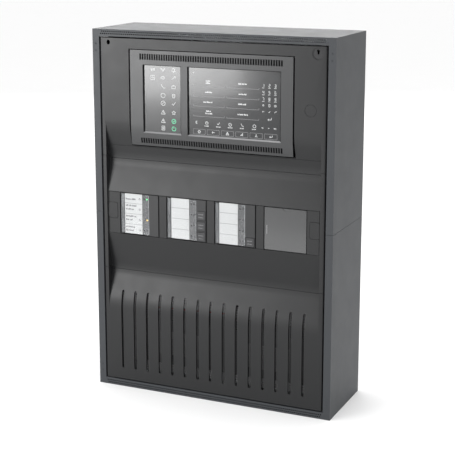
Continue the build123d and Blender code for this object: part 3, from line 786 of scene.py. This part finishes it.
# ---- controller -------------------------------------------------------------------------------
RING = circle(0, 0, 1, 14)
RING_CLOSED = RING + RING[:1]
STAR = [(r * math.sin(t), r * math.cos(t)) for t, r in
        [(math.pi * i / 5, (1.0, 0.45)[i % 2]) for i in range(11)]]
ICONS = {
    "ring": [RING_CLOSED],
    "slash": [RING_CLOSED, [(-0.7, -0.7), (0.7, 0.7)]],
    "warning": [[(-1, -0.8), (0, 0.9), (1, -0.8), (-1, -0.8)], [(0, 0.3), (0, -0.4)]],
    "chevron": [[(-1, 0.5), (0, -0.6), (1, 0.5)], [(-1, 0.9), (0, -0.1), (1, 0.9)]],
    "horn": [[(-1, 0.3), (-0.4, 0.3), (0.3, 0.8), (0.3, -0.8), (-0.4, -0.3), (-1, -0.3), (-1, 0.3)],
             [(0.7, 0.5), (0.9, 0), (0.7, -0.5)]],
    "handset": [[(-0.8, 0.9), (-0.5, 0.2), (0.2, -0.5), (0.9, -0.8)], [(-1, 0.7), (-0.5, 1)],
                [(0.6, -1), (1, -0.5)]],
    "page": [[(-0.7, 0.9), (0.7, 0.9), (0.7, -0.9), (-0.7, -0.9), (-0.7, 0.9)], [(-0.4, 0.4), (0.4, 0.4)],
             [(-0.4, 0), (0.4, 0)], [(-0.4, -0.4), (0.4, -0.4)]],
    "bell": [[(-0.9, -0.5), (-0.6, 0), (-0.5, 0.6), (0, 0.9), (0.5, 0.6), (0.6, 0), (0.9, -0.5),
              (-0.9, -0.5)], [(-0.3, -0.9), (0.3, -0.9)]],
    "arrow": [[(-1, -0.6), (0, 0.2), (1, 0.8)], [(0.3, 0.9), (1, 0.8), (0.9, 0.1)]],
    "case": [[(-0.9, 0.5), (0.9, 0.5), (0.9, -0.7), (-0.9, -0.7), (-0.9, 0.5)],
             [(-0.3, 0.5), (-0.3, 0.9), (0.3, 0.9), (0.3, 0.5)]],
    "cup": [[(-0.7, 0.8), (-0.5, -0.8), (0.5, -0.8), (0.7, 0.8), (-0.7, 0.8)], [(-0.6, 0.1), (0.6, 0.1)]],
    "tick": [[(-0.8, 0), (-0.2, -0.7), (0.9, 0.8)]],
    "star": [STAR],
    "power": [[(x, z) for x, z in circle(0, 0, 1, 14, math.radians(115))][:12], [(0, 1.1), (0, 0.1)]],
    "home": [[(-1, 0), (0, 0.9), (1, 0)], [(-0.6, 0), (-0.6, -0.8), (0.6, -0.8), (0.6, 0)]],
    "back": [[(0.9, 0), (-0.9, 0)], [(-0.3, 0.6), (-0.9, 0), (-0.3, -0.6)]],
    "enter": [[(1, 0.8), (1, -0.2), (-0.8, -0.2)], [(-0.3, 0.3), (-0.8, -0.2), (-0.3, -0.7)]],
    "bars": [[(-0.6, -0.8), (-0.6, -0.1)], [(0, -0.8), (0, 0.4)], [(0.6, -0.8), (0.6, 0.9)]],
    "moon": [[(0.4, 0.9), (-0.3, 0.7), (-0.7, 0), (-0.3, -0.7), (0.4, -0.9), (0, -0.3), (0, 0.3),
              (0.4, 0.9)]],
    "person": [[(-0.7, -0.9), (0, 0.2), (0.7, -0.9)], [(0, 0.2), (0, 0.9)]],
}
BARS = {"a": [(-1, 2), (1, 2)], "b": [(1, 2), (1, 0)], "c": [(1, 0), (1, -2)], "d": [(-1, -2), (1, -2)],
        "e": [(-1, 0), (-1, -2)], "f": [(-1, 2), (-1, 0)], "g": [(-1, 0), (1, 0)]}
DIGITS = ("abcdef", "bc", "abged", "abgcd", "fgbc", "afgcd", "afgedc", "abc", "abcdefg", "abcdfg")
INDICATOR_WINDOW = ((-124.0, -52.5), (145.5, 261.8))
DISPLAY_WINDOW = ((-40.5, 127.0), (145.5, 261.8))
GRILLE_PITCH = 4.5
GRILLE_COUNT = 58
GRILLE_HALF = 1.4  # half the width of a bezel slot
GRILLE_ROWS = ((127.5, 136.5), (270.0, 280.0))


def digit(form, value, x, z, size, y):
    form.polyline([BARS[bar] for bar in DIGITS[value]], x, z, size, 0.55, y)


def bezel():
    """The controller's front: two windows, two rows of slots and a lower edge that curves back."""
    (x_low, x_high), (front, foot), (z_low, z_high) = limits("controller_bezel")
    bend_top, ledge, back = 160.0, 141.0, front + 3.0
    bend_r = ((bend_top - z_low) ** 2 + 4.0 ** 2) / (2 * 4.0)
    slots = [GRILLE_PITCH * (i - (GRILLE_COUNT - 1) / 2) for i in range(GRILLE_COUNT)]
    thin = ((126.5, 137.5, front + 4.4), (269.0, 281.0, front + 1.2))  # recesses behind the slots
    windows = (INDICATOR_WINDOW, DISPLAY_WINDOW)
    xs = sorted([x_low, x_high] + [slot + side for slot in slots for side in (-GRILLE_HALF, GRILLE_HALF)]
                + [edge for window in windows for edge in window[0]])
    steps = [edge for low, high, _ in thin for edge in (low, low + 0.2, high - 0.2, high)]
    zs = sorted([z_low, 148.5, 152.0, 156.0, bend_top, ledge, ledge + 0.2, z_high, *GRILLE_ROWS[0],
                 *GRILLE_ROWS[1], *INDICATOR_WINDOW[1]] + steps)

    def is_open(x, z):
        if any(low < z < high for low, high in GRILLE_ROWS):
            return min(abs(x - slot) for slot in slots) < GRILLE_HALF
        return any(wx[0] < x < wx[1] and wz[0] < z < wz[1] for wx, wz in windows)

    def front_y(z):
        drop = max(0.0, bend_top - z)
        return front + bend_r - math.sqrt(bend_r ** 2 - drop ** 2)

    def back_y(z):
        for low, high, depth in thin:
            if low < z < high:
                return depth
        return foot if z <= ledge else back

    form = Form()
    form.grille(xs, zs, is_open, front_y, back_y)
    form.piece("bezel", "housing", "bezel_plastic", None, ["controller_bezel"], 0.3)


def gaskets_and_shade():
    """Black seals between the glass panels and the bezel, in the dull black of painted shade, so they also
    stand for the shadow along the window edges.
    """
    form = Form()
    glass = limits("touch_display")[1][0]
    for (x0, x1), (z0, z1) in (INDICATOR_WINDOW, DISPLAY_WINDOW):
        x, z, width, height = (x0 + x1) / 2, (z0 + z1) / 2, x1 - x0, z1 - z0
        outer = oblong(x, z, width - 0.1, height - 0.1, 0.5)
        form.band(outer, oblong(x, z, width - 3.0, height - 2.2, 0.8), glass - 1.0, glass)
    form.piece("window_gaskets_and_shade", "housing", "black_plastic", "painted_shade_black")


def vent_shade_plates():
    """Black plates close behind the bezel's two vent rows: painted shade, so the slots read dark instead of
    showing the lit case behind.
    """
    form = Form()
    back = limits("controller_bezel")[1][0] + 4.6
    for row in GRILLE_ROWS:
        form.prism(oblong(0, mid(row), 264.0, 11.0, 0.5), back, back + 0.4)
    form.piece("vent_shade_plates", "housing", "black_plastic", "painted_shade_black")


def window_ledges_highlight():
    """Sloped lower edge of each window, painted in a lighter grey as a highlight where it catches the
    light.
    """
    form = Form()
    front = limits("controller_bezel")[1][0]
    glass = limits("touch_display")[1][0]
    for (x0, x1), (z0, _) in (INDICATOR_WINDOW, DISPLAY_WINDOW):
        profile = ((front + 0.2, z0), (glass, z0), (glass, z0 + 2.4))
        ends = [form.loop([(x, y, z) for y, z in profile]) for x in (x0, x1)]
        form.bridge(*ends)
        for end in ends:
            form.mesh.faces.new(end)
    # The lighter ledge finish is a painted highlight.
    form.piece("window_ledges_highlight", "housing", "bezel_plastic", "ledge")


def indicator_print():
    """Three columns of symbols on the indicator panel."""
    glass = limits("indicator_panel")[1][0]
    y = (glass - INK, glass)
    heights = (254.0, 240.8, 226.0, 211.0, 197.8, 182.5, 168.0, 155.5)
    white, green = Form(), Form()
    names = ("chevron", "horn", "handset", "ring", "slash", "warning", "warning", "page")
    for name, z in zip(names, heights):
        white.polyline(ICONS[name], -87.3, z, 3.9, 0.62, y)
    names = ("bell", "arrow", "case", "cup", "tick", "star")
    for name, z in zip(names, heights):
        white.polyline(ICONS[name], -67.4, z, 3.7, 0.62, y)
    for name, z in zip(("ring", "power"), heights[6:]):
        green.polyline(ICONS[name], -67.4, z, 3.7, 0.95, y)
    green.polyline([[(-0.4, 0), (0, -0.4), (0.5, 0.5)]], -67.4, heights[6], 3.7, 0.9, y)
    for low in (-110.4, -105.8):
        white.polyline(ICONS["page"], low + 2, 254.1, 1.9, 0.45, y)
    for edge in (-1.0, 0.0, 1.0):
        white.polyline([[(-1, edge), (1, edge)], [(edge, -1), (edge, 1)]], -106.4, 240.5, 3.6, 0.45, y)
    white.piece("indicator_symbols", "housing", "indicator", "ink_white")
    green.piece("indicator_green", "housing", "indicator", "ink_green")


def display_print():
    """The menu on the display: lined buttons, a number pad and two rows of keys."""
    glass = limits("touch_display")[1][0]
    y = (glass - INK, glass)
    draw = random.Random(11)
    white, grey = Form(), Form()
    for column, (low, high) in enumerate(((-30.4, 25.6), (30.3, 87.6))):
        for row, z in enumerate((238.0, 221.0, 204.5, 187.5)):
            lines = (z + 1.9, z - 1.9) if column == 0 and row in (0, 3) else (z,)
            for line in lines:
                width = draw.uniform(13, 22) if len(lines) == 1 else draw.uniform(9, 13)
                white.greek(mid((low, high)), line, width, 2.4, y, draw)
            frame_z = z - 7.6
            grey.stroke([(low, frame_z), (high, frame_z)], 0.5, *y)
            grey.stroke([(low, frame_z), (low, frame_z + 2.5)], 0.5, *y)
            grey.stroke([(high, frame_z), (high, frame_z + 2.5)], 0.5, *y)
    for row, z in enumerate((237.5, 226.4, 215.5)):
        for column, x in enumerate((95.3, 106.0, 116.4)):
            digit(white, 1 + 3 * row + column, x, z, 1.1, y)
            white.greek(x, z - 4.0, 4.2, 1.1, y, draw)
    digit(white, 0, 106.0, 205.0, 1.1, y)
    for x, name in ((95.3, "star"), (116.4, "slash")):
        white.polyline(ICONS[name], x, 205.0, 1.7, 0.5, y)
    for x, name in ((95.3, "back"), (106.0, "tick"), (116.4, "arrow")):
        white.polyline(ICONS[name], x, 194.6, 1.9, 0.5, y)
    white.polyline(ICONS["enter"], 106.3, 182.4, 3.4, 0.7, y)
    white.polyline(ICONS["tick"], -30.3, 252.6, 1.5, 0.6, y)
    names = ("moon", "case", "tick", "power", "handset", "ring")
    for x, name in zip((-25.0, -6.3, 15.0, 36.4, 58.2, 79.8), names):
        white.polyline(ICONS[name], x, 169.4, 2.6, 0.65, y)
        if name != "moon":
            white.greek(x, 164.3, 8.5, 1.6, y, draw)
    for x in (95.0, 106.2, 116.2):
        white.greek(x, 167.9, 4.4, 2.0, y, draw)
    names = ("home", "back", "warning", "bars", "person", "enter")
    for i, name in enumerate(names):
        x = -20.2 + 25.8 * i
        grey.band(oblong(x, 154.0, 22.6, 8.9, 1.0), oblong(x, 154.0, 21.7, 8.0, 0.8), *y)
        white.polyline(ICONS[name], x, 154.0, 2.7, 0.75, y)
    white.piece("display_symbols", "housing", "screen", "ink_white")
    grey.piece("display_lines", "housing", "screen", "ink_grey")


def make_controller():
    bezel()
    gaskets_and_shade()
    vent_shade_plates()
    window_ledges_highlight()
    indicator_print()
    display_print()


# ---- plug-in modules --------------------------------------------------------------------------
ROWS = [18.5 * (1.5 - row) for row in range(4)]
NOSE_LEFT = 37.25  # from a module's middle to its left edge
LAMP_X = (45.3, 50.8)
FLAP_X = (1.0, 55.0)
MODULES = (1, 2, 3)
GAP_SHADE_SIZE = (76.4, 74.5)  # outer width and height of the black frame of painted shade in each window


def module_left(number):
    return mid(limits(f"module_case_{number}")[0]) - NOSE_LEFT


def label_print():
    """Row dividers on the cards, and lines of print on the first one."""
    card = limits("label_cards")[1][0]
    y = (card - INK, card)
    draw = random.Random(5)
    lines, print_ = Form(), Form()
    for number in MODULES:
        left = module_left(number)
        for height in (18.5, 0.0, -18.5):
            lines.stroke([(left + 7.5, height), (left + 41.5, height)], 0.7, *y)
    left = module_left(1)
    lengths = ((26.1, 20), (14.6, 22), (8.2, 16), (-4.4, 21), (-10.6, 15), (-23.3, 19), (-29.6, 15))
    for height, width in lengths:
        print_.greek(left + 9.5 + width / 2, height, width, 3.0, y, draw)
    for height in (27.0, 8.5, -10.0, -28.5):
        print_.polyline(ICONS["case"], left + 36.5, height, 1.6, 0.6, y)
    lines.piece("label_lines", "housing", "label", "ink_grey")
    print_.piece("label_text", "housing", "label", "ink_dark")


def lamp_lenses():
    """Domed lenses in two columns; two of them are lit."""
    groups = {"lamp": Form(), "lit_green": Form(), "lit_amber": Form()}
    front, back = limits("module_lamps")[1]
    for number in MODULES:
        for column, x in enumerate(LAMP_X):
            for row, z in enumerate(ROWS):
                lit = {(1, 1, 0): "lit_green", (1, 1, 2): "lit_amber"}.get((number, column, row), "lamp")
                profile = [(0, front), (0.7, front + 0.05), (1.25, front + 0.15), (1.4, front + 0.24),
                           (1.4, back), (0, back)]
                groups[lit].lathe(module_left(number) + x, z, profile, 14)
    for finish, form in groups.items():
        name = "lamp_lenses" if finish == "lamp" else finish + "_lens"
        form.piece(name, "housing", "lamp", finish, ["module_lamps"] if finish == "lamp" else ())


def lamp_columns():
    """Smooth panels that hold the lamps."""
    form = Form()
    face = limits("label_cards")[1][1]
    for number in MODULES:
        form.prism(oblong(module_left(number) + 48.2, 0, 12.0, 70.8, 0.6), face - 0.15, face + 0.1)
    form.piece("lamp_columns", "housing", "module_plastic", "column")


def clear_flaps():
    """Clear plates with rounded corners and two stub pins on the hinge line."""
    for number in MODULES:
        name = f"label_cover_{number}"
        _, y, z = limits(name)
        x = (module_left(number) + FLAP_X[0], module_left(number) + FLAP_X[1])
        half = 34.8
        form = Form()
        form.prism(oblong(mid(x), 0, x[1] - x[0], 2 * half, 0.6), *y)
        for low, high in ((z[0], -half), (half, z[1])):
            rings = [form.loop([(x[0] + 1 + 0.8 * math.cos(t), mid(y) + 0.8 * math.sin(t), height)
                                for t in [math.pi * i / 6 for i in range(12)]]) for height in (low, high)]
            form.bridge(*rings)
            for ring in rings:
                form.mesh.faces.new(ring)
        form.piece(name + "_clear", f"flap_{number}", "clear_cover", None, [name])


def window_gap_shade():
    """Black frames in the gaps between the modules and the door: painted shade, a dull black sheet where
    the gaps lie in shadow.
    """
    form = Form()
    face = limits("label_cards")[1][1]
    for number in MODULES:
        middle = mid(limits(f"module_case_{number}")[0])
        outer = oblong(middle, 0, *GAP_SHADE_SIZE, 0.5)
        form.band(outer, oblong(middle - 0.5, 0, 73.5, 72.6, 0.3), face - 1.2, face + 1.6)
    form.piece("window_gap_shade", "housing", "black_plastic", "painted_shade_black")
    # The same painted shade in the gap round the blank cover.
    x, (front, _), z = limits("blank_cover")
    edge = Form()
    outer = oblong(mid(x), 0, *GAP_SHADE_SIZE, 0.5)
    edge.band(outer, oblong(mid(x), 0, x[1] - x[0], z[1] - z[0], 0.8), front + 0.8, front + 2.0)
    edge.piece("blank_gap_shade", "door", "black_plastic", "painted_shade_black")


def flap_details():
    """Ground hinge strip, two lines of painted highlight (one along the free edge), finger notch and grip
    of each clear flap; the grip's lighter grey also paints the highlight on it.
    """
    for number in MODULES:
        left = module_left(number)
        _, (front, back), _ = limits(f"label_cover_{number}")
        half = 34.5
        strip, edge, grip = Form(), Form(), Form()
        strip.box((left + 1.2, left + 4.4), (back, back + 0.1), (-half, half))
        # Painted highlight: light grey lines where the clear edges catch the light.
        edge.box((left + 54.1, left + 54.9), (back, back + 0.1), (-half, half))
        edge.box((left + 5.0, left + 5.4), (back, back + 0.1), (-half, half))
        notch = [(left + 50.2 + 2.4 * math.cos(t), half + 2.4 * math.sin(t)) for t in
                 [math.pi + math.pi * i / 10 for i in range(11)]]
        strip.prism(notch, back, back + 0.1)
        # The grip's frosted grey is partly its own colour and partly painted highlight.
        grip.prism(oblong(left + 2.4, -1.0, 1.3, 19.0, 0.5), front + 0.02, front + 0.5)
        strip.piece(f"flap_strip_{number}", f"flap_{number}", "clear_cover", "frosted")
        edge.piece(f"flap_edge_highlight_{number}", f"flap_{number}", "clear_cover", "painted_edge_highlight")
        grip.piece(f"flap_grip_and_highlight_{number}", f"flap_{number}", "clear_cover", "frosted", (), 0.15)


def key_marks():
    """A short print on each key."""
    draw = random.Random(8)
    for name, body in (("module_key_2_2", "key_2_2"), ("module_key_2_3", "key_2_3"),
                       ("module_key_2_4", "key_2_4"), ("module_key_3_4", "key_3_4")):
        form = Form()
        x, (front, _), z = limits(name)
        y = (front - INK, front + 0.05)
        form.greek(mid(x), mid(z) + 2.4, 9.5, 1.3, y, draw)
        form.polyline(ICONS["bars"], mid(x) - 3.4, mid(z) - 2.6, 1.3, 0.45, y)
        form.greek(mid(x) + 1.6, mid(z) - 3.0, 5.5, 1.3, y, draw)
        form.piece(body + "_mark", body, "key_plastic", "ink_grey")


def blank_grip_and_highlight():
    """The moulded grip of the cover in the empty window, in a lighter grey that also paints the highlight
    on it.
    """
    x, (front, _), z = limits("blank_cover")
    grip = Form()
    grip.prism(oblong(x[0] + 4.4, -2.0, 1.3, 15.0, 0.5), front - 0.25, front + 0.2)
    grip.piece("blank_grip_and_highlight", "door", "blank", "ink_grey", (), 0.12)


def make_modules():
    label_print()
    clear_flaps()
    window_gap_shade()
    lamp_lenses()
    lamp_columns()
    flap_details()
    key_marks()
    blank_grip_and_highlight()


# ---- inside the housing -----------------------------------------------------------------------
def screw_head(form, x, z, radius, y, slot_turn):
    """A pan head with a sunken cross recess shown by four raised quarters."""
    profile = [(0, y - 0.35 * radius), (0.6 * radius, y - 0.35 * radius), (0.9 * radius, y - 0.2 * radius),
               (radius, y), (0, y)]
    form.lathe(x, z, profile, 14)
    for i in range(4):
        turn = slot_turn + math.pi / 2 * i
        points = [(x + 0.12 * radius * math.cos(turn + side) + 0.5 * radius * math.cos(turn + side * reach),
                   z + 0.12 * radius * math.sin(turn + side) + 0.5 * radius * math.sin(turn + side * reach))
                  for side, reach in ((-0.6, 0.3), (-0.6, 1.0), (0.6, 1.0), (0.6, 0.3))]
        form.prism(points, y - 0.45 * radius, y - 0.3 * radius)


def terminal_screws():
    form = Form()
    draw = random.Random(2)
    for number in MODULES:
        middle = mid(limits(f"module_case_{number}")[0])
        front = limits("field_terminals")[1][0]
        for i in range(8):
            screw_head(form, middle - 31.5 + 9 * i, -69.5, 2.0, front + 5.4, draw.uniform(0, 1.5))
    for name, ways in (("power_supply_terminals", 4), ("mains_terminal", 3)):
        (x0, x1), (front, _), (_, z1) = limits(name)
        for i in range(ways):
            x = x0 + (x1 - x0) * (i + 0.5) / ways
            screw_head(form, x, z1 - 5, 1.9, front + 2.9, draw.uniform(0, 1.5))
    form.piece("terminal_screws", "housing", "steel")


def frame_screws():
    """Pan-head screws that hold the rails and the controller case."""
    form = Form()
    draw = random.Random(4)
    front = limits("mounting_rails")[1][0]
    for x in (-190.0, 190.0):
        for z in (270.0, 140.0, 50.0, -50.0):
            screw_head(form, x, z, 3.2, front, draw.uniform(0, 1.5))
    form.piece("rail_screws", "housing", "steel")


def bus_parts():
    """Header, chips and capacitors on the free end of the bus board."""
    front = limits("bus_board")[1][0]
    draw = random.Random(6)
    plastic, pins, cans = Form(), Form(), Form()
    middle = 135.6
    plastic.prism(oblong(middle, 20, 70, 9, 0.6), front - 8, front)
    for i in range(24):
        for row in (-1.5, 1.5):
            pins.box((middle - 29.6 + 2.54 * i, middle - 28.9 + 2.54 * i), (front - 10, front - 8),
                     (20 + row - 0.35, 20 + row + 0.35))
    for x, z, width, height in ((110, -8, 14, 10), (132, -12, 10, 10), (160, -6, 18, 8)):
        plastic.prism(oblong(x, z, width, height, 0.3), front - 2, front)
        for i in range(int(width / 1.6)):
            for side in (-1, 1):
                pin_x = x - width / 2 + 1 + 1.6 * i
                pins.box((pin_x - 0.3, pin_x + 0.3), (front - 0.5, front),
                         sorted((z + side * height / 2, z + side * (height / 2 + 1.4))))
    for i in range(4):
        x, z = 104 + 22 * i, -31 + draw.uniform(-2, 2)
        profile = [(0, front - 10), (3.4, front - 10), (4.0, front - 9.4), (4.0, front - 1),
                   (3.7, front), (0, front)]
        cans.lathe(x, z, profile, 18)
    plastic.piece("bus_plastic", "housing", "board", "black_plastic", (), 0.25)
    pins.piece("bus_pins", "housing", "board", "brass")
    cans.piece("bus_cans", "housing", "board", "supply_metal")


def battery_bands():
    """A plain sticker on the front of each battery."""
    for number in (1, 2):
        sticker = Form()
        x, (front, _), z = limits(f"battery_{number}")
        sticker.prism(oblong(mid(x), z[0] + 52, 96, 44, 2.0), front - 0.15, front + 0.05)
        sticker.piece(f"battery_sticker_{number}", "housing", "battery", "ink_grey", (), 0.05)


def make_inside():
    terminal_screws()
    frame_screws()
    bus_parts()
    battery_bands()


make_camera()
make_floor()
make_lights()
dress_nodes()
make_housing_details()
make_controller()
make_modules()
make_inside()
